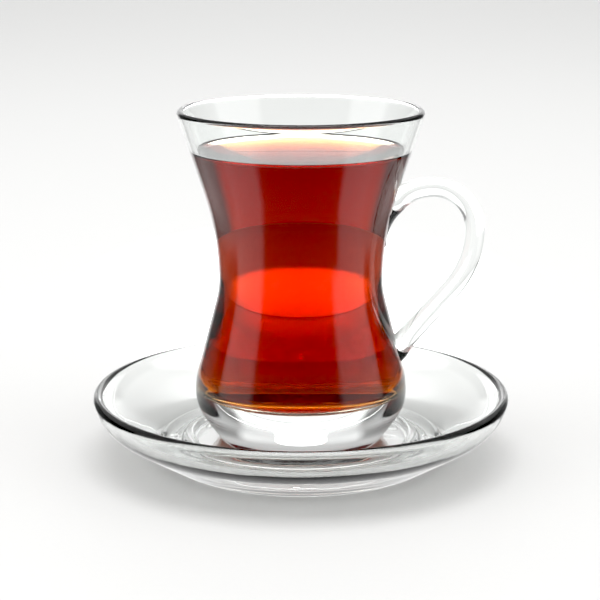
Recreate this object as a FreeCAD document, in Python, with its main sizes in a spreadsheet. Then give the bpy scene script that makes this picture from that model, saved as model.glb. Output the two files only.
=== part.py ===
# Waisted tea glass with a handle, filled with tea and standing on its glass saucer.
#
# Frame: millimetres, +Z up. The origin is the middle of the saucer's foot, on the surface it stands on,
# and the handle points along +X. The glass and the tea are drawn from the glass's own base and lifted
# onto the saucer's well. Every outline is a half section: its x is the radius, its y the height.
import FreeCAD
import Part
import Sketcher
import math
import os
import re

V = FreeCAD.Vector
START, END, CENTRE = 1, 2, 3
X_AXIS, Y_AXIS, ORIGIN = -1, -2, (-1, 1)

# Driving dimensions: name, value in millimetres, what it is.
SIZES = [
    ("glass_height", 91.0, "tea glass, from its base to the top of the lip"),
    ("rim_radius", 33.5, "outside radius at the lip"),
    ("flare_curve", 76.0, "radius of the hollow curve above the waist"),
    ("waist_radius", 22.3, "outside radius at the narrowest place"),
    ("waist_height", 44.8, "height of the narrowest place above the base"),
    ("neck_curve", 22.0, "radius of the hollow curve below the waist"),
    ("shoulder_curve", 22.0, "radius of the belly above its widest place"),
    ("belly_radius", 29.1, "outside radius at the belly"),
    ("belly_height", 13.4, "height of the belly's widest place above the base"),
    ("belly_curve", 11.7, "radius of the belly below its widest place"),
    ("base_radius", 22.1, "radius where the belly's flank meets the base"),
    ("heel_round", 1.2, "radius of the rounded edge under the base"),
    ("wall", 2.0, "wall thickness of the glass"),
    ("lip_wall", 2.0, "width of the lip before its edges are rounded"),
    ("lip_round", 0.85, "radius of the lip's rounded edges"),
    ("floor_thickness", 11.0, "thickness of the heavy base in its middle"),
    ("floor_curve", 120.0, "radius of the dished floor inside"),
    ("floor_corner", 3.0, "radius between the floor and the wall inside"),
    ("punt_radius", 14.0, "radius of the hollow under the base"),
    ("punt_depth", 1.2, "depth of the hollow under the base"),
    ("tea_below_lip", 11.3, "depth of the tea's surface under the lip"),
    ("tea_clearance", 0.1, "clearance between the tea and the glass"),
    ("handle_reach", 47.2, "handle's centreline at its furthest from the axis"),
    ("handle_top", 69.9, "height of the handle's centreline at its highest"),
    ("handle_bend", 11.5, "radius of the handle's upper bend"),
    ("handle_arm", 16.0, "radius of the upper arm, which dips into the wall"),
    ("handle_sweep", 26.0, "radius of the handle's lower bend"),
    ("root_radius", 22.5, "radius at which the lower arm ends, inside the belly"),
    ("root_height", 20.6, "height at which the lower arm ends"),
    ("handle_thick", 5.4, "handle's thickness, across the finger gap"),
    ("handle_wide", 7.4, "handle's width, along Y"),
    ("saucer_radius", 57.2, "outside radius of the saucer"),
    ("saucer_height", 18.6, "height of the saucer's rim"),
    ("saucer_wall", 3.0, "thickness of the saucer's dish"),
    ("edge_curve", 12.0, "outside radius of the curve that turns the dish up to its rim"),
    ("edge_rise", 1.9, "height of that curve's centre above the middle of the rounded rim"),
    ("foot_radius", 37.2, "outside radius of the foot ring"),
    ("foot_wide", 2.6, "width of the foot ring"),
    ("foot_height", 2.2, "height of the foot ring inside"),
    ("well_height", 5.0, "height of the well's floor, which the glass stands on"),
    ("well_clearance", 7.1, "room round the glass's base inside the raised ring"),
    ("ring_wide", 3.6, "width of the raised ring round the well"),
    ("ring_height", 1.0, "height of the raised ring round the well"),
]

doc = FreeCAD.newDocument("tea_glass")
sheet = doc.addObject("Spreadsheet::Sheet", "sizes")
size = {}
for row, (name, value, note) in enumerate(SIZES, start=1):
    sheet.set("A%d" % row, note)
    sheet.set("B%d" % row, str(value))
    sheet.setAlias("B%d" % row, name)
    size[name] = value
doc.recompute()


def from_sheet(formula):
    """A formula of size names, as an expression that reads the spreadsheet."""
    return re.sub(r"[a-z_]+", lambda word: "sizes." + word.group(), formula)


def new_body(name, lift=None):
    """A body named for its node, raised by the named size."""
    body = doc.addObject("PartDesign::Body", name)
    body.Label = name
    if lift:
        body.setExpression("Placement.Base.z", from_sheet(lift))
    return body


def revolve(body, outline, kind):
    """Turn an outline about the upright axis: kind is Revolution to add it, Groove to take it away."""
    feature = body.newObject("PartDesign::" + kind, outline.sketch.Name + "_turned")
    feature.Profile = outline.sketch
    feature.ReferenceAxis = (outline.sketch, ["V_Axis"])
    feature.Angle = 360
    outline.sketch.Visibility = False
    return feature


def round_edges(body, base, name, radius, wanted):
    """Round the edges of the finished feature base that wanted(edge) picks."""
    doc.recompute()
    names = ["Edge%d" % (i + 1) for i, edge in enumerate(base.Shape.Edges) if wanted(edge)]
    fillet = body.newObject("PartDesign::Fillet", name)
    fillet.Base = (base, names)
    fillet.setExpression("Radius", from_sheet(radius))
    return fillet


def is_level_circle(edge, height, radius):
    """True for a circle about the upright axis at that height with that radius."""
    box = edge.BoundBox
    near = 0.01
    return box.ZLength < near and abs(box.ZMin - height) < near and abs(box.YMax - radius) < near


class Outline:
    """Lines and arcs of one sketch, held by dimensions that read the spreadsheet.

    They are drawn near their true places, and the dimensions and tangents then set them exactly.
    """

    def __init__(self, body, name, role="XZ_Plane"):
        self.sketch = body.newObject("Sketcher::SketchObject", name)
        plane = [feature for feature in body.Origin.OriginFeatures if feature.Role == role][0]
        self.sketch.AttachmentSupport = [(plane, "")]
        self.sketch.MapMode = "FlatFace"

    def line(self, start, end):
        return self.sketch.addGeometry(Part.LineSegment(V(*start, 0), V(*end, 0)), False)

    def arc(self, centre, radius, first, last):
        """An arc that runs counter-clockwise from first to last, both in degrees."""
        circle = Part.Circle(V(*centre, 0), V(0, 0, 1), radius)
        turned = Part.ArcOfCircle(circle, math.radians(first), math.radians(last))
        return self.sketch.addGeometry(turned, False)

    def at(self, item, which):
        """Where a point of an item is drawn."""
        point = self.sketch.getPoint(item, which)
        return (point.x, point.y)

    def tie(self, kind, *where):
        self.sketch.addConstraint(Sketcher.Constraint(kind, *where))

    def join(self, *points):
        """Put points, each given as (item, which), in one place."""
        for other in points[1:]:
            self.tie("Coincident", *points[0], *other)

    def smooth(self, first, second):
        """Join two ends, each given as (item, which), with one tangent."""
        self.tie("Tangent", *first, *second)

    def measure(self, kind, formula, drawn, *where):
        """A dimension that follows a formula of sizes; drawn is its value as drawn."""
        number = self.sketch.addConstraint(Sketcher.Constraint(kind, *where, drawn))
        self.sketch.setExpression("Constraints[%d]" % number, from_sheet(formula))

    def radius(self, item, formula):
        self.measure("Radius", formula, self.sketch.Geometry[item].Radius, item)

    def place(self, item, which, x, y):
        """Hold a point at a radius and a height; 0 is on the axis or the base line."""
        drawn = self.sketch.getPoint(item, which)
        if x == 0:
            self.tie("PointOnObject", item, which, Y_AXIS)
        elif x:
            self.measure("DistanceX", x, drawn.x, *ORIGIN, item, which)
        if y == 0:
            self.tie("PointOnObject", item, which, X_AXIS)
        elif y:
            self.measure("DistanceY", y, drawn.y, *ORIGIN, item, which)

    def level(self, item, which):
        """Put an arc's centre level with one of its ends, so that the end runs straight up."""
        self.tie("Horizontal", item, CENTRE, item, which)


def glass_outside(body):
    """Flank, belly, neck, waist and flare, closed along the top, the axis and the base."""
    s = size
    out = Outline(body, "outside")
    belly = out.arc((s["belly_radius"] - s["belly_curve"], s["belly_height"]), s["belly_curve"], -36, 0)
    shoulder = out.arc((s["belly_radius"] - s["shoulder_curve"], s["belly_height"]), s["shoulder_curve"], 0, 16)
    neck = out.arc((s["waist_radius"] + s["neck_curve"], s["waist_height"]), s["neck_curve"], 180, 196)
    flare = out.arc((s["waist_radius"] + s["flare_curve"], s["waist_height"]), s["flare_curve"], 163, 180)
    base_edge = (s["base_radius"], 0)
    lip_edge = (s["rim_radius"], s["glass_height"])
    flank = out.line(base_edge, out.at(belly, START))
    slope = out.line(out.at(shoulder, END), out.at(neck, END))
    mouth = out.line(out.at(flare, START), lip_edge)
    top = out.line(lip_edge, (0, s["glass_height"]))
    axis = out.line((0, s["glass_height"]), (0, 0))
    base = out.line((0, 0), base_edge)

    out.radius(belly, "belly_curve")
    out.place(belly, END, "belly_radius", "belly_height")
    out.level(belly, END)
    out.radius(shoulder, "shoulder_curve")
    out.join((belly, END), (shoulder, START))
    out.level(shoulder, START)
    out.radius(neck, "neck_curve")
    out.place(neck, START, "waist_radius", "waist_height")
    out.level(neck, START)
    out.radius(flare, "flare_curve")
    out.join((neck, START), (flare, END))
    out.level(flare, END)

    out.smooth((flank, END), (belly, START))
    out.smooth((shoulder, END), (slope, START))
    out.smooth((slope, END), (neck, END))
    out.smooth((flare, START), (mouth, START))
    out.place(flank, START, "base_radius", 0)
    out.place(mouth, END, "rim_radius", "glass_height")
    out.join((mouth, END), (top, START))
    out.tie("Horizontal", top)
    out.join((top, END), (axis, START))
    out.place(axis, START, 0, None)
    out.join(ORIGIN, (axis, END), (base, START))
    out.join((base, END), (flank, START))
    return out


def glass_inside(body, name, gap=""):
    """The hollow of the glass up to its lip, or what fills it, drawn smaller by a gap."""
    s = size
    less = " - " + gap if gap else ""
    more = " + " + gap if gap else ""
    out = Outline(body, name)
    tilt = 15
    corner_centre = (s["belly_radius"] - 1.5 * s["wall"] - s["floor_corner"],
                     s["floor_thickness"] + 1.3 * s["floor_corner"])
    floor_end = math.degrees(math.asin(corner_centre[0] / (s["floor_curve"] - s["floor_corner"])))
    shoulder = out.arc((s["belly_radius"] - s["shoulder_curve"], s["belly_height"]),
                       s["shoulder_curve"] - s["wall"], 0, 90)
    out.sketch.toggleConstruction(shoulder)
    neck = out.arc((s["waist_radius"] + s["neck_curve"], s["waist_height"]), s["neck_curve"] + s["wall"], 180, 196)
    flare = out.arc((s["waist_radius"] + s["flare_curve"], s["waist_height"]),
                    s["flare_curve"] + s["wall"], 163, 180)
    floor = out.arc((0, s["floor_thickness"] + s["floor_curve"]), s["floor_curve"], 270, 270 + floor_end)
    corner = out.arc(corner_centre, s["floor_corner"], 270 + floor_end, 360 + tilt)
    lip_edge = (s["rim_radius"] - s["lip_wall"], s["glass_height"])
    slope = out.line(out.at(corner, END), out.at(neck, END))
    mouth = out.line(out.at(flare, START), lip_edge)
    top = out.line(lip_edge, (0, s["glass_height"]))
    axis = out.line((0, s["glass_height"]), (0, s["floor_thickness"]))

    out.radius(shoulder, "shoulder_curve - wall" + less)
    out.place(shoulder, CENTRE, "belly_radius - shoulder_curve", "belly_height")
    out.radius(neck, "neck_curve + wall" + more)
    out.place(neck, START, "waist_radius - wall" + less, "waist_height")
    out.level(neck, START)
    out.radius(flare, "flare_curve + wall" + more)
    out.join((neck, START), (flare, END))
    out.level(flare, END)
    out.radius(floor, "floor_curve" + less)
    out.place(floor, START, 0, "floor_thickness" + more)
    out.place(floor, CENTRE, 0, None)
    out.radius(corner, "floor_corner" + less)

    out.place(shoulder, START, None, "belly_height")
    out.place(shoulder, END, "belly_radius - shoulder_curve", None)

    out.smooth((floor, END), (corner, START))
    out.smooth((corner, END), (slope, START))
    out.tie("Tangent", slope, shoulder)
    out.smooth((slope, END), (neck, END))
    out.smooth((flare, START), (mouth, START))
    out.place(mouth, END, "rim_radius - lip_wall" + less, "glass_height")
    out.join((mouth, END), (top, START))
    out.tie("Horizontal", top)
    out.join((top, END), (axis, START))
    out.place(axis, START, 0, None)
    out.join((axis, END), (floor, START))
    return out


def glass_punt(body):
    """The shallow hollow under the base: a cap of a large sphere."""
    s = size
    out = Outline(body, "punt")
    curve = (s["punt_radius"] ** 2 + s["punt_depth"] ** 2) / (2 * s["punt_depth"])
    edge = math.degrees(math.acos(s["punt_radius"] / curve))
    cap = out.arc((0, s["punt_depth"] - curve), curve, edge, 90)
    base = out.line((0, 0), (s["punt_radius"], 0))
    axis = out.line((0, s["punt_depth"]), (0, 0))
    out.place(cap, START, "punt_radius", 0)
    out.place(cap, END, 0, "punt_depth")
    out.place(cap, CENTRE, 0, None)
    out.join(ORIGIN, (base, START), (axis, END))
    out.join((cap, START), (base, END))
    out.join((cap, END), (axis, START))
    return out


def handle_path(body):
    """The handle's centreline, from inside the wall over the upper bend and down into the belly."""
    s = size
    out = Outline(body, "handle_path")
    crown = (s["handle_reach"] - s["handle_bend"], s["handle_top"])
    arm = out.arc((crown[0], s["handle_top"] - s["handle_arm"]), s["handle_arm"], 90, 180)
    bend = out.arc((crown[0], s["handle_top"] - s["handle_bend"]), s["handle_bend"], 0, 90)
    sweep_centre = (s["handle_reach"] - s["handle_sweep"], s["handle_top"] - s["handle_bend"])
    sweep = out.arc(sweep_centre, s["handle_sweep"], -40, 0)
    leg = out.line(out.at(sweep, START), (s["root_radius"], s["root_height"]))

    out.radius(bend, "handle_bend")
    out.place(bend, CENTRE, "handle_reach - handle_bend", "handle_top - handle_bend")
    out.tie("Horizontal", bend, CENTRE, bend, START)
    out.tie("Vertical", bend, CENTRE, bend, END)
    out.radius(arm, "handle_arm")
    out.join((bend, END), (arm, START))
    out.tie("Vertical", arm, CENTRE, arm, START)
    out.tie("Horizontal", arm, CENTRE, arm, END)
    out.radius(sweep, "handle_sweep")
    out.join((bend, START), (sweep, END))
    out.tie("Horizontal", sweep, CENTRE, sweep, END)
    out.smooth((sweep, START), (leg, START))
    out.place(leg, END, "root_radius", "root_height")
    return out


def handle_section(body):
    """The handle's oval section, level, at the upper arm's end inside the hollow of the glass."""
    s = size
    out = Outline(body, "handle_section", "XY_Plane")
    middle = V(s["handle_reach"] - s["handle_bend"] - s["handle_arm"], 0, 0)
    oval = Part.Ellipse(middle + V(0, s["handle_wide"] / 2, 0), middle + V(s["handle_thick"] / 2, 0, 0), middle)
    item = out.sketch.addGeometry(oval, False)
    out.sketch.exposeInternalGeometry(item)
    wide, thick = item + 1, item + 2
    out.place(item, CENTRE, "handle_reach - handle_bend - handle_arm", 0)
    out.tie("Vertical", wide)
    out.measure("Distance", "handle_wide", s["handle_wide"], wide)
    out.measure("Distance", "handle_thick", s["handle_thick"], thick)
    out.sketch.setExpression("AttachmentOffset.Base.z", from_sheet("handle_top - handle_arm"))
    return out


def tea_glass():
    """The glass with its handle, one piece of clear glass."""
    s = size
    body = new_body("tea_glass", lift="well_height")
    revolve(body, glass_outside(body), "Revolution")
    path = handle_path(body)
    section = handle_section(body)
    handle = body.newObject("PartDesign::AdditivePipe", "handle")
    handle.Profile = section.sketch
    handle.Spine = path.sketch
    handle.Refine = False
    body.Tip = handle
    hollow = revolve(body, glass_inside(body, "hollow"), "Groove")
    punt = revolve(body, glass_punt(body), "Groove")
    lip = round_edges(body, punt, "lip_rounds", "lip_round", lambda edge:
                      is_level_circle(edge, s["glass_height"], s["rim_radius"]) or
                      is_level_circle(edge, s["glass_height"], s["rim_radius"] - s["lip_wall"]))
    round_edges(body, lip, "heel_rounds", "heel_round", lambda edge:
                is_level_circle(edge, 0, s["base_radius"]))
    return body


def tea():
    """The tea, which fills the hollow of the glass up to its level."""
    s = size
    body = new_body("tea", lift="well_height")
    revolve(body, glass_inside(body, "filling", "tea_clearance"), "Revolution")
    above = Outline(body, "above_level")
    level = s["glass_height"] - s["tea_below_lip"]
    clear = s["glass_height"] + s["wall"]
    corners = [(0, level), (s["rim_radius"], level), (s["rim_radius"], clear), (0, clear)]
    sides = [above.line(corners[i], corners[(i + 1) % 4]) for i in range(4)]
    for i in range(4):
        above.join((sides[i], END), (sides[(i + 1) % 4], START))
    above.tie("Horizontal", sides[0])
    above.tie("Vertical", sides[1])
    above.tie("Horizontal", sides[2])
    above.tie("Vertical", sides[3])
    above.place(sides[0], START, 0, "glass_height - tea_below_lip")
    above.place(sides[2], START, "rim_radius", "glass_height + wall")
    revolve(body, above, "Groove")
    return body


def saucer_outline(body):
    """Foot ring, sloping dish, turned-up rounded rim, and the well with its raised ring."""
    s = size
    out = Outline(body, "section")
    rim_round = s["saucer_wall"] / 2
    rim_centre = (s["saucer_radius"] - rim_round, s["saucer_height"] - rim_round)
    foot_inside = s["foot_radius"] - s["foot_wide"]
    ring_inside = s["base_radius"] + s["well_clearance"]
    ring_middle = ring_inside + s["ring_wide"] / 2
    ring_curve = (s["ring_wide"] ** 2 / 4 + s["ring_height"] ** 2) / (2 * s["ring_height"])
    ring_tilt = math.degrees(math.acos(s["ring_wide"] / 2 / ring_curve))

    # The curve up to the rim leans out: its centre lies inwards of the rim's and a little higher.
    lean = -math.asin(s["edge_rise"] / (s["edge_curve"] - rim_round))
    centre = (rim_centre[0] - s["edge_rise"] / math.tan(-lean), rim_centre[1] + s["edge_rise"])
    to_foot = (centre[0] - s["foot_radius"], centre[1])
    slope = math.atan2(to_foot[1], to_foot[0]) - math.asin(s["edge_curve"] / math.hypot(*to_foot))
    flat_end = math.degrees(slope) - 90
    outer = out.arc(centre, s["edge_curve"], flat_end, math.degrees(lean))
    inner = out.arc(centre, s["edge_curve"] - s["saucer_wall"], flat_end, math.degrees(lean))
    rim = out.arc(rim_centre, rim_round, math.degrees(lean), 180 + math.degrees(lean))
    under = out.line((s["foot_radius"], 0), out.at(outer, START))
    inner_end = out.at(inner, START)
    upper_start = (inner_end[0] - (inner_end[1] - s["well_height"]) / math.tan(slope), s["well_height"])
    upper = out.line(upper_start, inner_end)
    shelf = out.line((ring_middle + s["ring_wide"] / 2, s["well_height"]), upper_start)
    ring = out.arc((ring_middle, s["well_height"] + s["ring_height"] - ring_curve), ring_curve,
                   ring_tilt, 180 - ring_tilt)
    well = out.line((0, s["well_height"]), (ring_inside, s["well_height"]))
    axis = out.line((0, s["well_height"]), (0, s["foot_height"]))
    recess = out.line((0, s["foot_height"]), (foot_inside, s["foot_height"]))
    foot_side = out.line((foot_inside, s["foot_height"]), (foot_inside, 0))
    foot = out.line((foot_inside, 0), (s["foot_radius"], 0))

    out.place(foot, END, "foot_radius", 0)
    out.place(foot, START, "foot_radius - foot_wide", 0)
    out.join((foot, START), (foot_side, END))
    out.tie("Vertical", foot_side)
    out.join((foot_side, START), (recess, END))
    out.tie("Horizontal", recess)
    out.place(recess, START, 0, "foot_height")
    out.join((recess, START), (axis, END))
    out.join((axis, START), (well, START))
    out.place(well, START, 0, "well_height")
    out.tie("Horizontal", well)

    out.join((well, END), (ring, END))
    out.place(well, END, "base_radius + well_clearance", None)
    out.place(ring, CENTRE, "base_radius + well_clearance + ring_wide / 2", None)
    out.radius(ring, "(ring_wide * ring_wide / 4 + ring_height * ring_height) / (2 * ring_height)")
    out.join((ring, START), (shelf, START))
    out.tie("Horizontal", shelf)
    out.place(shelf, START, None, "well_height")
    out.join((shelf, END), (upper, START))

    out.radius(rim, "saucer_wall / 2")
    out.place(rim, CENTRE, "saucer_radius - saucer_wall / 2", "saucer_height - saucer_wall / 2")
    out.join((foot, END), (under, START))
    out.radius(outer, "edge_curve")
    out.place(outer, CENTRE, None, "saucer_height - saucer_wall / 2 + edge_rise")
    out.smooth((under, END), (outer, START))
    out.smooth((outer, END), (rim, START))
    out.radius(inner, "edge_curve - saucer_wall")
    out.tie("Horizontal", inner, CENTRE, outer, CENTRE)
    out.smooth((upper, END), (inner, START))
    out.smooth((inner, END), (rim, END))
    out.tie("Parallel", upper, under)
    return out


def saucer():
    """The saucer, turned about its axis."""
    body = new_body("saucer")
    revolve(body, saucer_outline(body), "Revolution")
    return body


bodies = [tea_glass(), tea(), saucer()]
doc.recompute()

for item in doc.Objects:
    faults = [word for word in item.State if word in ("Invalid", "Error")]
    if faults:
        raise RuntimeError("%s failed: %s" % (item.Name, ", ".join(faults)))
for body in bodies:
    if body.Shape.isNull() or not body.Shape.isValid() or len(body.Shape.Solids) != 1:
        raise RuntimeError("%s is not one valid solid" % body.Label)

os.makedirs("parts", exist_ok=True)
for body in bodies:
    body.Shape.exportStep(os.path.join("parts", body.Label + ".step"))
    box = body.Shape.BoundBox
    print("%s: %.1f x %.1f x %.1f mm, %.0f mm3" % (body.Label, box.XLength, box.YLength, box.ZLength,
                                                body.Shape.Volume))
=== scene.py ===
"""Waisted tea glass with its handle, its tea and its saucer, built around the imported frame.

Lengths are metres and +Z is up. The glass stands on the Z axis and its handle points along +X.
Outlines are half sections: each point is a radius and a height.
"""

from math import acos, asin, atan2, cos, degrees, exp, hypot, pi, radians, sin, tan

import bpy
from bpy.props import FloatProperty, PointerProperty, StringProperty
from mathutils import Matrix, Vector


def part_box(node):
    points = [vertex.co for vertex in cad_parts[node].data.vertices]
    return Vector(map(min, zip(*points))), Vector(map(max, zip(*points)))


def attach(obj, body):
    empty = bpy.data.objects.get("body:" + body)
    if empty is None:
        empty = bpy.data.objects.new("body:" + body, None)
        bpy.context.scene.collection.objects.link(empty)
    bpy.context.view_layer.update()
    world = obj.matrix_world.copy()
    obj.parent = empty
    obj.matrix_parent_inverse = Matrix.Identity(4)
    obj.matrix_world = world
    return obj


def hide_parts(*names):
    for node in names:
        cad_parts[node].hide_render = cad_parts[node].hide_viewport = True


bl_info = {
    "name": "Tea Glass on its Saucer",
    "version": (1, 0, 0),
    "blender": (4, 5, 0),
    "location": "3D View > Sidebar > Tea Glass",
    "description": "Builds a handled tea glass, its tea and its glass saucer, with a plain studio round them",
    "category": "Object",
}

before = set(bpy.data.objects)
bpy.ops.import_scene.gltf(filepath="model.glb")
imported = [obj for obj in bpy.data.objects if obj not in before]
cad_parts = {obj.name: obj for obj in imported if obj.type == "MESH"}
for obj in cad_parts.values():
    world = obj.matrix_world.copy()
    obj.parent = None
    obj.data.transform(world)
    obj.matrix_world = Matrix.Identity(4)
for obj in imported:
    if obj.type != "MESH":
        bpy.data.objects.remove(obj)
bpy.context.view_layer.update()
GLASS_BOX, TEA_BOX, SAUCER_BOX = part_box("tea_glass"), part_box("tea"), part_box("saucer")

MM = 0.001


# ---------------------------------------------------------------- sizes and colours that a user may change

def length(name, description, millimetres):
    return FloatProperty(name=name, description=description, default=millimetres * MM,
                         unit="LENGTH", subtype="DISTANCE", precision=5)


def colour(name, description, hex_value):
    return StringProperty(name=name, description=description + ", as an sRGB hex value", default=hex_value)


class TeaGlassSizes(bpy.types.PropertyGroup):
    """Sizes of the glass; heights are above its own base."""
    height: length("Height", "From the base to the top of the lip", (GLASS_BOX[1].z - GLASS_BOX[0].z) / MM)
    rim_radius: length("Rim radius", "Outside radius at the lip", 33.5)
    flare_curve: length("Flare curve", "Radius of the hollow curve above the waist", 76)
    waist_radius: length("Waist radius", "Outside radius at the narrowest place", 22.3)
    waist_height: length("Waist height", "Height of the narrowest place", 44.8)
    neck_curve: length("Neck curve", "Radius of the hollow curve below the waist", 22)
    shoulder_curve: length("Shoulder curve", "Radius of the belly above its widest place", 22)
    belly_radius: length("Belly radius", "Outside radius at the belly", 29.1)
    belly_height: length("Belly height", "Height of the belly's widest place", 13.4)
    belly_curve: length("Belly curve", "Radius of the belly below its widest place", 11.7)
    base_radius: length("Base radius", "Radius where the flank meets the base", 22.1)
    heel_round: length("Heel round", "Radius of the rounded edge under the base", 1.2)
    wall: length("Wall", "Wall thickness", 2.0)
    lip_round: length("Lip round", "Radius of the fire-polished lip", 0.95)
    floor_thickness: length("Floor thickness", "Thickness of the heavy base in its middle",
                            (TEA_BOX[0].z - GLASS_BOX[0].z) / MM - 0.1)
    floor_curve: length("Floor curve", "Radius of the dished floor", 120)
    floor_corner: length("Floor corner", "Radius between the floor and the wall", 3)
    punt_radius: length("Punt radius", "Radius of the hollow under the base", 14)
    punt_depth: length("Punt depth", "Depth of the hollow under the base", 1.2)


class TeaGlassHandleSizes(bpy.types.PropertyGroup):
    """Sizes of the handle; heights are above the base of the glass."""
    reach: length("Reach", "Radius of the centreline at its furthest", 47.2)
    top: length("Top", "Height of the centreline at its highest", 69.9)
    bend: length("Bend", "Radius of the upper bend", 11.5)
    arm: length("Arm", "Radius of the upper arm", 16)
    sweep: length("Sweep", "Radius of the lower bend", 26)
    root_radius: length("Root radius", "Radius at which the lower arm ends", 22.5)
    root_height: length("Root height", "Height at which the lower arm ends", 20.6)
    thick: length("Thickness", "Thickness across the finger gap", 5.4)
    wide: length("Width", "Width along Y", 7.4)
    flare: length("Flare", "How much each root spreads where it meets the wall", 1.6)


class TeaGlassSaucerSizes(bpy.types.PropertyGroup):
    """Sizes of the saucer; heights are above the table."""
    radius: length("Radius", "Outside radius", SAUCER_BOX[1].x / MM)
    height: length("Height", "Height of the rim", SAUCER_BOX[1].z / MM)
    wall: length("Wall", "Thickness of the dish", 3)
    edge_curve: length("Edge curve", "Outside radius of the curve up to the rim", 12)
    edge_rise: length("Edge rise", "Height of that curve's centre above the middle of the rounded rim", 1.9)
    foot_radius: length("Foot radius", "Outside radius of the foot ring", 37.2)
    foot_wide: length("Foot width", "Width of the foot ring", 2.6)
    foot_height: length("Foot height", "Height of the foot ring inside", 2.2)
    well_height: length("Well height", "Height of the well's floor, a hair under the glass",
                        GLASS_BOX[0].z / MM - 0.05)
    well_radius: length("Well radius", "Radius of the well inside the raised ring", 29.2)
    ring_wide: length("Ring width", "Width of the raised ring", 3.6)
    ring_height: length("Ring height", "Height of the raised ring", 1.0)


class TeaGlassTeaSizes(bpy.types.PropertyGroup):
    """Sizes of the tea."""
    level: length("Level", "Height of the tea's surface above the table", TEA_BOX[1].z / MM)
    overlap: length("Overlap", "How far the tea reaches into the wall, so that no air gap shows", 0.25)
    meniscus: length("Meniscus", "How far the tea climbs the wall", 0.9)


class TeaGlassColours(bpy.types.PropertyGroup):
    """Colours of the glass, the tea and the floor."""
    glass: colour("Glass", "Soda-lime glass seen through two of its faces", "FCFEFD")
    brew: colour("Tea", "What a thin layer of the tea lets through", "F8E2AA")
    floor: colour("Floor", "Plain table top", "E6E6E5")


# ---------------------------------------------------------------- outlines

def on_circle(centre, radius, turn):
    """The point of a circle at a turn in degrees."""
    return (centre[0] + radius * cos(radians(turn)), centre[1] + radius * sin(radians(turn)))


def touch(point, centre, radius, side):
    """Where on a circle the tangent from a point touches it, in degrees; side is 1 or -1."""
    dx, dy = point[0] - centre[0], point[1] - centre[1]
    return degrees(atan2(dy, dx) + side * acos(radius / hypot(dx, dy)))


def crossing_touch(first, first_radius, second, second_radius):
    """Where on the first circle the tangent that passes between two circles touches it, in degrees."""
    dx, dy = second[0] - first[0], second[1] - first[1]
    return degrees(atan2(dy, dx) - acos((first_radius + second_radius) / hypot(dx, dy)))


def arc(centre, radius, first, last, step):
    """Points along an arc, both ends included, about a step apart."""
    count = max(2, round(abs(radians(last - first)) * radius / step))
    return [on_circle(centre, radius, first + (last - first) * i / count) for i in range(count + 1)]


def run(start, end, step):
    """Points along a straight line, both ends included, about a step apart."""
    count = max(1, round(hypot(end[0] - start[0], end[1] - start[1]) / step))
    return [(start[0] + (end[0] - start[0]) * i / count, start[1] + (end[1] - start[1]) * i / count)
            for i in range(count + 1)]


def joined(*stretches):
    """One outline from several that follow on, without doubled points."""
    same = 0.02 * MM
    points = []
    for point in [p for stretch in stretches for p in stretch]:
        if not points or hypot(point[0] - points[-1][0], point[1] - points[-1][1]) > same:
            points.append(point)
    return points


def eased(points, times):
    """The outline with its changes of curve softened, as blown and pressed glass has them; the ends stay."""
    for _ in range(times):
        middle = [((a[0] + 4 * b[0] + c[0]) / 6, (a[1] + 4 * b[1] + c[1]) / 6)
                  for a, b, c in zip(points, points[1:], points[2:])]
        points = [points[0], *middle, points[-1]]
    return points


def wall_outline(s, inset, step=1.1 * MM):
    """The side of the glass from the shoulder up to the lip, set in from the outside by a distance.

    It comes with the turn, in degrees, of the straight slope under the neck, and with where that starts.
    """
    shoulder = (s.belly_radius - s.shoulder_curve, s.belly_height)
    neck = (s.waist_radius + s.neck_curve, s.waist_height)
    flare = (s.waist_radius + s.flare_curve, s.waist_height)
    lip = (s.rim_radius - inset, s.height)
    turn = crossing_touch(shoulder, s.shoulder_curve, neck, s.neck_curve)
    opening = touch(lip, flare, s.flare_curve + inset, 1)
    low = on_circle(shoulder, s.shoulder_curve - inset, turn)
    slope = run(low, on_circle(neck, s.neck_curve + inset, 180 + turn), step)
    return turn, low, joined(slope, arc(neck, s.neck_curve + inset, 180 + turn, 180, step),
                             arc(flare, s.flare_curve + inset, 180, opening, step),
                             run(on_circle(flare, s.flare_curve + inset, opening), lip, step))


def glass_outside(s, step=1.1 * MM):
    """From the middle of the punt under the base up to the lip."""
    dome = (s.punt_radius ** 2 + s.punt_depth ** 2) / (2 * s.punt_depth)
    dome_edge = degrees(acos(s.punt_radius / dome))
    belly = (s.belly_radius - s.belly_curve, s.belly_height)
    shoulder = (s.belly_radius - s.shoulder_curve, s.belly_height)
    flank_end = touch((s.base_radius, 0), belly, s.belly_curve, 1)
    flank_top = on_circle(belly, s.belly_curve, flank_end)
    lean = atan2(flank_top[1], flank_top[0] - s.base_radius)
    heel = s.heel_round / tan((pi - lean) / 2)
    heel_middle = (s.base_radius - heel, s.heel_round)
    turn, _, side = wall_outline(s, 0, step)
    return joined(arc((0, s.punt_depth - dome), dome, 90, dome_edge, step),
                  run((s.punt_radius, 0), (s.base_radius - heel, 0), step),
                  arc(heel_middle, s.heel_round, -90, degrees(lean) - 90, step / 4),
                  run(on_circle(heel_middle, s.heel_round, degrees(lean) - 90), flank_top, step),
                  arc(belly, s.belly_curve, flank_end, 0, step),
                  arc(shoulder, s.shoulder_curve, 0, turn, step), side)


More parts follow.
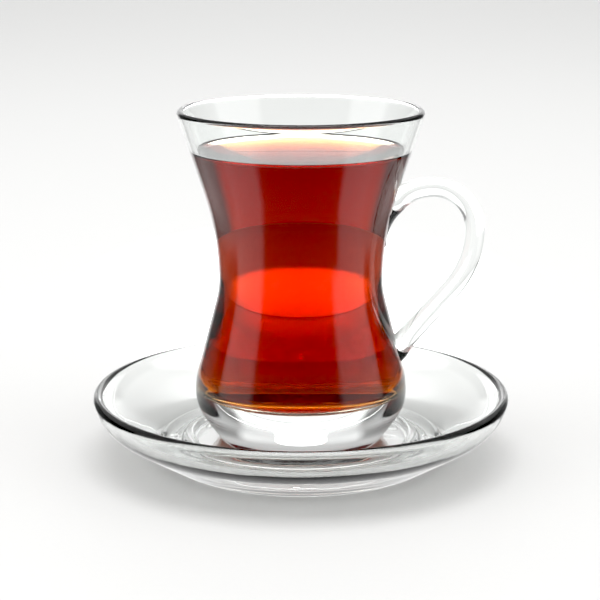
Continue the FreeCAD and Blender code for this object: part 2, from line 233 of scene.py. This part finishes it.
def glass_inside(s, inset, step=1.1 * MM):
    """From the middle of the floor up to the lip, inside; inset is the wall, or less for what fills it."""
    turn, low, side = wall_outline(s, inset, step)
    drop = s.wall - inset
    floor = (0, s.floor_thickness - drop + s.floor_curve)
    corner, dish = s.floor_corner + drop, s.floor_curve
    # The corner's centre lies this far in from the sloping side and above the dished floor.
    across, up = cos(radians(turn)), sin(radians(turn))
    line = low[0] * across + low[1] * up - corner
    offset = floor[0] * across + floor[1] * up
    angle = acos((line - offset) / (dish - corner))
    middle = (floor[0] + (dish - corner) * cos(radians(turn) - angle),
              floor[1] + (dish - corner) * sin(radians(turn) - angle))
    dish_end = degrees(atan2(middle[1] - floor[1], middle[0]))
    return joined(arc(floor, dish, -90, dish_end, step),
                  arc(middle, corner, dish_end, turn, step / 2),
                  run(on_circle(middle, corner, turn), side[0], step), side)


def glass_outline(s):
    """The whole glass without its handle, from the punt round the lip and down to the floor."""
    outside, inside = glass_outside(s), glass_inside(s, s.wall)
    # The lip leans out with the wall, and its round starts and ends square to it.
    below, end = outside[-3], outside[-1]
    lean = atan2(end[0] - below[0], end[1] - below[1])
    middle = (s.rim_radius - s.wall / 2 - s.lip_round * tan(lean), s.height - s.lip_round)
    drop, blend = s.lip_round * sin(lean), 0.3 * MM
    lip = arc(middle, s.lip_round, -degrees(lean), 180 - degrees(lean), 0.25 * MM)
    return joined(eased([p for p in outside if p[1] < middle[1] - drop - blend], 4), lip,
                  eased([p for p in reversed(inside) if p[1] < middle[1] + drop - blend], 4))


def tea_outline(glass, s, base):
    """The tea, from the floor up into the wall and across its surface; base lifts it to the table's frame."""
    side = eased(glass_inside(glass, glass.wall - s.overlap), 4)
    level = s.level - base
    top = level + s.meniscus
    side = [p for p in side if p[1] < top - 0.2 * MM]
    wall_lean = 0.3
    rim = side[-1][0] + (top - side[-1][1]) * wall_lean
    # The meniscus dies away over this distance from the wall; its points stand closer where it is steep.
    fade = 1.25 * MM
    surface = [(rim - d * MM, level + s.meniscus * exp(-d * MM / fade))
               for d in (0, 0.25, 0.5, 0.8, 1.2, 1.7, 2.3, 3, 4, 5.5, 7.5)]
    return joined(side, surface, run((surface[-1][0] - 1.5 * MM, level), (0, level), 2 * MM))


def saucer_outline(s):
    """Foot ring, dish, rounded rim, and the well with its raised ring, from the axis round to the axis."""
    step = 1.0 * MM
    round_ = s.wall / 2
    rim = (s.radius - round_, s.height - round_)
    lean = degrees(asin(s.edge_rise / (s.edge_curve - round_)))
    curve = (rim[0] - (s.edge_curve - round_) * cos(radians(lean)), rim[1] + s.edge_rise)
    flat = touch((s.foot_radius, 0), curve, s.edge_curve, 1)
    slope = radians(flat + 90)
    foot_in = s.foot_radius - s.foot_wide
    inner_end = on_circle(curve, s.edge_curve - s.wall, flat)
    upper = (inner_end[0] - (inner_end[1] - s.well_height) / tan(slope), s.well_height)
    ring_out = s.well_radius + s.ring_wide
    bump = (s.ring_wide ** 2 / 4 + s.ring_height ** 2) / (2 * s.ring_height)
    tilt = degrees(acos(s.ring_wide / 2 / bump))
    ring = ((s.well_radius + ring_out) / 2, s.well_height + s.ring_height - bump)
    under = joined(run((0, s.foot_height), (foot_in, s.foot_height), step),
                   run((foot_in, s.foot_height), (foot_in, 0), step / 2),
                   run((foot_in, 0), (s.foot_radius, 0), step / 2),
                   run((s.foot_radius, 0), on_circle(curve, s.edge_curve, flat), step),
                   arc(curve, s.edge_curve, flat, -lean, step), arc(rim, round_, -lean, 90, step / 4))
    over = joined(arc(rim, round_, 90, 180 - lean, step / 4),
                  arc(curve, s.edge_curve - s.wall, -lean, flat, step),
                  run(inner_end, upper, step), run(upper, (ring_out, s.well_height), step),
                  arc(ring, bump, tilt, 180 - tilt, step / 4),
                  run((s.well_radius, s.well_height), (0, s.well_height), step))
    return eased(joined(under, over), 3)


# ---------------------------------------------------------------- meshes

def lathe(name, outline, turns, lift=0.0):
    """A closed mesh: the outline, which starts and ends on the axis, turned about the axis."""
    middle = outline[1:-1]
    points = [(0, 0, outline[0][1] + lift)]
    for radius, height in middle:
        points += [(radius * cos(2 * pi * i / turns), radius * sin(2 * pi * i / turns), height + lift)
                   for i in range(turns)]
    points.append((0, 0, outline[-1][1] + lift))
    faces = [(0, 1 + (i + 1) % turns, 1 + i) for i in range(turns)]
    for row in range(len(middle) - 1):
        low, high = 1 + row * turns, 1 + (row + 1) * turns
        faces += [(low + i, low + (i + 1) % turns, high + (i + 1) % turns, high + i) for i in range(turns)]
    top = 1 + (len(middle) - 1) * turns
    faces += [(top + i, top + (i + 1) % turns, len(points) - 1) for i in range(turns)]
    return new_piece(name, points, faces)


def new_piece(name, points, faces):
    """A smooth-shaded object in the scene, from points and faces."""
    mesh = bpy.data.meshes.new(name)
    mesh.from_pydata(points, [], faces)
    mesh.update()
    mesh.shade_smooth()
    piece = bpy.data.objects.new(name, mesh)
    bpy.context.scene.collection.objects.link(piece)
    return piece


def handle_line(s, step):
    """The handle's centreline, from inside the wall over the upper bend and down into the belly."""
    crown = s.reach - s.bend
    elbow = (s.reach - s.sweep, s.top - s.bend)
    root = (s.root_radius, s.root_height)
    leave = touch(root, elbow, s.sweep, 1)
    return joined(arc((crown, s.top - s.arm), s.arm, 180, 90, step),
                  arc((crown, s.top - s.bend), s.bend, 90, 0, step),
                  arc(elbow, s.sweep, 0, leave, step), run(on_circle(elbow, s.sweep, leave), root, step))


def handle_piece(name, s, wall, lift):
    """An oval bar swept along the handle's centreline, spreading where it meets the wall's outline."""
    line = eased(handle_line(s, 0.9 * MM), 3)
    around, spread_over = 40, 2 * MM
    points, faces = [], []
    for i, here in enumerate(line):
        before, after = line[max(i - 1, 0)], line[min(i + 1, len(line) - 1)]
        long = Vector((after[0] - before[0], 0, after[1] - before[1])).normalized()
        side = Vector((-long.z, 0, long.x))
        clear = here[0] - min(wall, key=lambda p: abs(p[1] - here[1]))[0]
        spread = s.flare * exp(-max(clear, 0) / spread_over)
        for k in range(around):
            angle = 2 * pi * k / around
            offset = side * ((s.thick + spread) / 2 * cos(angle)) + \
                Vector((0, (s.wide + spread) / 2 * sin(angle), 0))
            points.append(Vector((here[0], 0, here[1] + lift)) + offset)
    for i in range(len(line) - 1):
        low, high = i * around, (i + 1) * around
        faces += [(low + k, high + k, high + (k + 1) % around, low + (k + 1) % around) for k in range(around)]
    faces.append(tuple(range(around)))
    faces.append(tuple(reversed(range(len(points) - around, len(points)))))
    return new_piece(name, points, faces)


def combine(piece, other, operation):
    """Join piece with other, or cut other out of it, and remove other."""
    modifier = piece.modifiers.new("combine", "BOOLEAN")
    modifier.operation, modifier.object, modifier.solver = operation, other, "EXACT"
    shaped = bpy.data.meshes.new_from_object(piece.evaluated_get(bpy.context.evaluated_depsgraph_get()))
    piece.modifiers.clear()
    piece.data = shaped
    bpy.data.objects.remove(other)


# ---------------------------------------------------------------- materials

def linear(hex_value):
    """An sRGB hex colour as the linear RGBA that shaders take."""
    channels = [int(hex_value[i:i + 2], 16) / 255 for i in (0, 2, 4)]
    return (*(c / 12.92 if c <= 0.04045 else ((c + 0.055) / 1.055) ** 2.4 for c in channels), 1.0)


def per_metre(millimetres):
    """The scale of a pattern whose features are this far apart."""
    return 1 / (millimetres * MM)


def new_material(name):
    """An empty node material and its output node."""
    material = bpy.data.materials.new(name)
    material.use_nodes = True
    material.node_tree.nodes.clear()
    return material, add_node(material, "ShaderNodeOutputMaterial")


def add_node(owner, kind, settings=None, **inputs):
    """A node in a material or world.

    Inputs are values or output sockets; a name has _ for each space, or is in0, in1 and so on for a place.
    """
    tree = owner.node_tree
    node = tree.nodes.new(kind)
    for name, value in (settings or {}).items():
        setattr(node, name, value)
    for name, value in inputs.items():
        socket = node.inputs[int(name[2:])] if name.startswith("in") and name[2:].isdigit() else \
            node.inputs[name.replace("_", " ")]
        if isinstance(value, bpy.types.NodeSocket):
            tree.links.new(value, socket)
        else:
            socket.default_value = value
    return node


def finish_material(piece, material, output, surface, volume=None):
    """Lead the surface and volume into the output, and give the material to the piece."""
    tree = material.node_tree
    tree.links.new(surface.outputs[0], output.inputs["Surface"])
    if volume:
        tree.links.new(volume.outputs[0], output.inputs["Volume"])
    piece.data.materials.append(material)


def soda_lime_glass(piece, name, tint, swell, depth, glint=1.0):
    """Clear soda-lime glass; its shallow waves are swell apart and depth deep, in millimetres."""
    material, output = new_material(name)
    place = add_node(material, "ShaderNodeTexCoord").outputs["Object"]
    wave = add_node(material, "ShaderNodeTexNoise", Vector=place, Scale=per_metre(swell), Detail=1.5)
    relief = add_node(material, "ShaderNodeBump", Height=wave.outputs["Fac"], Strength=1.0,
                      Distance=depth * MM)
    surface = add_node(material, "ShaderNodeBsdfPrincipled", Base_Color=linear(tint), Roughness=0.0, IOR=1.5,
                       Transmission_Weight=1.0, Specular_Tint=(glint, glint, glint, 1),
                       Normal=relief.outputs["Normal"])
    finish_material(piece, material, output, surface)


def black_tea(piece, colours):
    """Strong black tea: clear, so a thin layer is golden, a thicker one red and the full width dark."""
    material, output = new_material("black tea")
    place = add_node(material, "ShaderNodeTexCoord").outputs["Object"]
    ripple = add_node(material, "ShaderNodeTexNoise", Vector=place, Scale=per_metre(9), Detail=1.0)
    relief = add_node(material, "ShaderNodeBump", Height=ripple.outputs["Fac"], Strength=1.0,
                      Distance=0.01 * MM)
    # Brewed and poured: still and clear. Most of its surface lies against the glass and hardly glints, while
    # the open top still shines at a low angle.
    glint = 0.2
    surface = add_node(material, "ShaderNodeBsdfPrincipled", Base_Color=(1, 1, 1, 1), Roughness=0.0,
                       IOR=1.333, Transmission_Weight=1.0, Specular_Tint=(glint, glint, glint, 1),
                       Normal=relief.outputs["Normal"])
    volume = add_node(material, "ShaderNodeVolumeAbsorption", Color=linear(colours.brew), Density=500.0)
    finish_material(piece, material, output, surface, volume)


def matt_laminate(piece, colours):
    """A matt laminate table top: even and pale, with a grain too fine to catch the light."""
    material, output = new_material("matt laminate")
    place = add_node(material, "ShaderNodeTexCoord").outputs["Object"]
    grain = add_node(material, "ShaderNodeTexNoise", Vector=place, Scale=per_metre(1.5), Detail=3.0)
    pale, paler = linear(colours.floor), tuple(min(1.0, c * 1.02) for c in linear(colours.floor))
    shade = add_node(material, "ShaderNodeMix", {"data_type": "RGBA"}, in0=grain.outputs["Fac"],
                     in6=pale, in7=paler)
    surface = add_node(material, "ShaderNodeBsdfPrincipled", Base_Color=shade.outputs[2], Roughness=0.7,
                       IOR=1.45)
    finish_material(piece, material, output, surface)


# ---------------------------------------------------------------- studio

def studio_walls(scene):
    """Light all round: dim in front, a tall softbox at either side, then dark gaps and a pale back wall."""
    world = bpy.data.worlds.new("studio walls")
    scene.world = world
    world.use_nodes = True
    world.node_tree.nodes.clear()
    way = add_node(world, "ShaderNodeTexCoord").outputs["Generated"]
    apart = add_node(world, "ShaderNodeSeparateXYZ", Vector=way)
    near = add_node(world, "ShaderNodeMath", {"operation": "MULTIPLY"}, in0=apart.outputs["Y"], in1=-1.0)
    turn = add_node(world, "ShaderNodeMath", {"operation": "ARCTAN2"}, in0=apart.outputs["X"],
                    in1=near.outputs[0])
    # The turn from the front, -180 to 180 degrees, becomes 0 to 1.
    part = add_node(world, "ShaderNodeMapRange", Value=turn.outputs[0], From_Min=-pi, From_Max=pi)
    # Brightness by turn at three heights. The dark gaps stand low, like screens, and are softer higher up. Well
    # below the table, where only mirrored light looks, the softboxes go on, the front is dim and the rest pale.
    box, front, shade, rear = 0.60, 0.18, 0.15, 0.45
    low_wall, low_gap, high_wall, high_gap = 0.52, 0.10, 0.28, 0.33
    heights = []
    for stops in (
            ((-180, low_wall), (-156, low_wall), (-150, low_gap), (-101, low_gap), (-96, box), (-58, box),
             (-52, front), (0, front), (42, front), (49, box), (96, box), (101, low_gap), (150, low_gap),
             (156, low_wall), (180, low_wall)),
            ((-180, high_wall), (-156, high_wall), (-130, high_gap), (-101, high_gap), (-96, box), (-58, box),
             (-52, front), (0, front), (42, front), (49, box), (96, box), (101, high_gap), (130, high_gap),
             (156, high_wall), (180, high_wall)),
            ((-100, rear), (-94, box), (-58, box), (-50, shade), (50, shade), (57, box), (89, box),
             (95, rear))):
        ramp = add_node(world, "ShaderNodeValToRGB", Fac=part.outputs[0])
        while len(ramp.color_ramp.elements) < len(stops):
            ramp.color_ramp.elements.new(0.5)
        for element, (place, bright) in zip(ramp.color_ramp.elements, stops):
            element.position, element.color = (place + 180) / 360, (bright, bright, bright, 1)
        heights.append(ramp.outputs["Color"])
    low, high, under = heights
    table, ceiling = (0.34, 0.34, 0.34, 1), (0.36, 0.36, 0.36, 1)
    # Each line goes from one brightness to the next between two elevations: the walls give way to a ceiling,
    # and straight down it is as bright as the table.
    walls = light_between(world, apart.outputs["Z"], 12, 24, low, high)
    above = light_between(world, apart.outputs["Z"], 50, 66, walls, ceiling)
    below = light_between(world, apart.outputs["Z"], -66, -82, under, table)
    whole = light_between(world, apart.outputs["Z"], -26, -16, below, above)
    shine = add_node(world, "ShaderNodeBackground", Color=whole, Strength=2.4)
    add_node(world, "ShaderNodeOutputWorld", Surface=shine.outputs[0])


def light_between(world, rise, first, last, one, other):
    """One light up to the first elevation, in degrees, and the other from the last on, with a soft change."""
    share = add_node(world, "ShaderNodeMapRange", {"interpolation_type": "SMOOTHSTEP"}, Value=rise,
                     From_Min=sin(radians(first)), From_Max=sin(radians(last)))
    both = add_node(world, "ShaderNodeMix", {"data_type": "RGBA"}, in0=share.outputs[0], in6=one, in7=other)
    return both.outputs[2]


def new_light(scene, name, kind, watts, place, tilt=0.0, stretch=1.0, **settings):
    """A light that shines straight down, or tilted by some degrees, and may be stretched along X."""
    light = bpy.data.lights.new(name, kind)
    light.energy = watts
    for setting, value in settings.items():
        setattr(light, setting, value)
    stand = bpy.data.objects.new(name, light)
    stand.location, stand.rotation_euler, stand.scale = place, (radians(tilt), 0, 0), (stretch, 1, 1)
    scene.collection.objects.link(stand)
    return stand


def light_pool(scene, name, watts, place, across, deep, edge):
    """An oval pool of light on the table behind the glass, from a spotlight straight above it."""
    height = 1.2
    return new_light(scene, name, "SPOT", watts, (0, place, height), stretch=across / deep,
                     shadow_soft_size=0.02, spot_size=2 * atan2(deep, height), spot_blend=edge)


def table_top():
    """A round table top, wide enough to reach the skyline."""
    turns, radius = 96, 4.0
    points = [(radius * cos(2 * pi * i / turns), radius * sin(2 * pi * i / turns), 0) for i in range(turns)]
    return new_piece("table_top", points, [tuple(range(turns))])


def camera(scene):
    """A long lens close by, looking a little down."""
    down = 13.54
    lens = bpy.data.cameras.new("camera")
    lens.lens, lens.sensor_width, lens.clip_start = 104.6, 36, 0.01
    stand = bpy.data.objects.new("camera", lens)
    stand.location = (-0.00024, -0.4637, 0.1552)
    stand.rotation_euler = (radians(90 - down), 0, 0)
    scene.collection.objects.link(stand)
    scene.camera = stand


# ---------------------------------------------------------------- operators

class TEAGLASS_OT_glass(bpy.types.Operator):
    """Build the waisted tea glass with its handle"""
    bl_idname = "teaglass.glass"
    bl_label = "Tea glass"

    def execute(self, context):
        scene = context.scene
        sizes, handle, tint = scene.tea_glass, scene.tea_glass_handle, scene.tea_glass_colours.glass
        base = GLASS_BOX[0].z
        glass = lathe("tea_glass_clear", glass_outline(sizes), 256, base)
        bar = handle_piece("handle", handle, glass_outside(sizes), base)
        # The bar is cut off halfway into the wall, so nothing of it shows inside the glass.
        hollow = joined(glass_inside(sizes, sizes.wall / 2), [(0, sizes.height)])
        combine(bar, lathe("hollow", hollow, 256, base), "DIFFERENCE")
        # Blown into a mould and fire-polished: clear and bright, with a faint swell where the glass flowed.
        soda_lime_glass(glass, "blown soda-lime glass", tint, swell=16, depth=0.03)
        # Where tea wets the wall, glass and tea bend light almost alike and the wall hardly glints.
        soda_lime_glass(glass, "wetted soda-lime glass", tint, swell=16, depth=0.03, glint=0.1)
        # The wetted faces look towards the axis or up, from above the punt to the tea's level.
        lowest = base + 4 * MM
        for face in glass.data.polygons:
            out = Vector((face.center.x, face.center.y, 0))
            inward = face.normal.dot(out) < 0 or (face.normal.z > 0.5 and out.length < sizes.waist_radius)
            face.material_index = int(inward and lowest < face.center.z < scene.tea_glass_tea.level)
        combine(glass, bar, "UNION")
        glass.data.shade_smooth()
        glass.data.set_sharp_from_angle(angle=radians(35))
        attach(glass, "root")
        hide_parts("tea_glass")
        return {"FINISHED"}


class TEAGLASS_OT_tea(bpy.types.Operator):
    """Fill the glass with tea"""
    bl_idname = "teaglass.tea"
    bl_label = "Tea"

    def execute(self, context):
        scene = context.scene
        base = GLASS_BOX[0].z
        tea = lathe("black_tea", tea_outline(scene.tea_glass, scene.tea_glass_tea, base), 256, base)
        black_tea(tea, scene.tea_glass_colours)
        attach(tea, "root")
        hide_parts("tea")
        return {"FINISHED"}


class TEAGLASS_OT_saucer(bpy.types.Operator):
    """Build the glass saucer"""
    bl_idname = "teaglass.saucer"
    bl_label = "Saucer"

    def execute(self, context):
        scene = context.scene
        saucer = lathe("saucer_clear", saucer_outline(scene.tea_glass_saucer), 256)
        saucer.data.set_sharp_from_angle(angle=radians(35))
        # Pressed in a mould, whose cooler face left shallow waves all over.
        tint = scene.tea_glass_colours.glass
        soda_lime_glass(saucer, "pressed soda-lime glass", tint, swell=14, depth=0.12)
        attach(saucer, "root")
        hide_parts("saucer")
        return {"FINISHED"}


class TEAGLASS_OT_stage(bpy.types.Operator):
    """Set the table top, the lights and the camera"""
    bl_idname = "teaglass.stage"
    bl_label = "Stage"

    def execute(self, context):
        scene = context.scene
        top = table_top()
        matt_laminate(top, scene.tea_glass_colours)
        # Out of the glass's reflections, as on a light table: its mirror image would veil the tea.
        top.visible_glossy = False
        softbox = new_light(scene, "overhead softbox", "AREA", 12, (0, -0.1, 1.5),
                            shape="RECTANGLE", size=1.2, size_y=1.2)
        # A bright oval card far behind lies on the tea's surface and in the heavy base as a highlight.
        card = new_light(scene, "back card", "AREA", 2.9, (0, 3.6, 1.1), tilt=-75,
                         shape="ELLIPSE", size=1.35, size_y=0.7)
        # The tea lets these two pools of light through: a wide glow in the waist, and a narrow one under it.
        light_pool(scene, "waist glow", 260, place=0.2, across=0.075, deep=0.119, edge=0.08)
        light_pool(scene, "rim glow", 150, place=0.052, across=0.03, deep=0.009, edge=0.5)
        studio_walls(scene)
        camera(scene)
        scene.view_settings.view_transform = "Standard"
        # The faintest veil of light over the dark tea becomes black.
        black = 0.025
        scene.view_settings.use_curve_mapping = True
        scene.view_settings.curve_mapping.black_level = (black, black, black)
        scene.view_settings.curve_mapping.update()
        # Light crosses many faces of clear glass before it reaches the camera.
        scene.cycles.max_bounces = scene.cycles.transmission_bounces = 24
        return {"FINISHED"}


class TEAGLASS_PT_build(bpy.types.Panel):
    """Buttons and settings for the tea glass"""
    bl_idname = "TEAGLASS_PT_build"
    bl_label = "Tea Glass"
    bl_space_type = "VIEW_3D"
    bl_region_type = "UI"
    bl_category = "Tea Glass"

    def draw(self, context):
        for operator in OPERATORS:
            self.layout.operator(operator.bl_idname)
        for name, group in SETTINGS:
            box = self.layout.box()
            for field in group.__annotations__:
                box.prop(getattr(context.scene, name), field)


OPERATORS = (TEAGLASS_OT_glass, TEAGLASS_OT_tea, TEAGLASS_OT_saucer, TEAGLASS_OT_stage)
SETTINGS = (("tea_glass", TeaGlassSizes), ("tea_glass_handle", TeaGlassHandleSizes),
            ("tea_glass_tea", TeaGlassTeaSizes), ("tea_glass_saucer", TeaGlassSaucerSizes),
            ("tea_glass_colours", TeaGlassColours))


def register():
    for name, group in SETTINGS:
        bpy.utils.register_class(group)
        setattr(bpy.types.Scene, name, PointerProperty(type=group))
    for cls in (*OPERATORS, TEAGLASS_PT_build):
        bpy.utils.register_class(cls)


def unregister():
    for cls in reversed((*OPERATORS, TEAGLASS_PT_build)):
        bpy.utils.unregister_class(cls)
    for name, group in reversed(SETTINGS):
        delattr(bpy.types.Scene, name)
        bpy.utils.unregister_class(group)


def main():
    register()
    bpy.ops.teaglass.glass()
    bpy.ops.teaglass.tea()
    bpy.ops.teaglass.saucer()
    bpy.ops.teaglass.stage()


if __name__ == "__main__":
    main()
